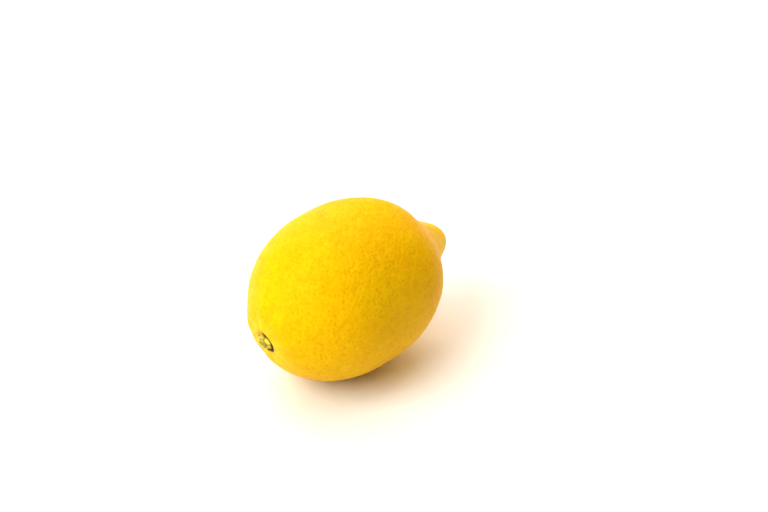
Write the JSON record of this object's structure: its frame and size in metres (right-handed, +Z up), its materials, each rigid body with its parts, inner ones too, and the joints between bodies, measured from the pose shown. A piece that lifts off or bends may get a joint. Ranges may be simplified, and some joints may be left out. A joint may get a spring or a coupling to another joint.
{
  "type": "lemon",
  "caption": "Whole ripe lemon lying on its side, with a pointed nipple at one end and the dry calyx and stalk stub seated in the other.",
  "frame": {"origin": "middle of the small flat on the underside that the lemon rests on", "axes": "+Z up, square to the surface it rests on; +X along the fruit from the stalk end to the nipple; +Y completes the right-handed set and points to the fruit's left side when seen from the stalk end"},
  "size_m": [0.096, 0.0651, 0.0646],
  "materials": {
    "peel": "satin",
    "calyx": "matte"
  },
  "bodies": {
    "root": {"fruit": "peel", "calyx_button": "calyx"}
  },
  "joints": []
}
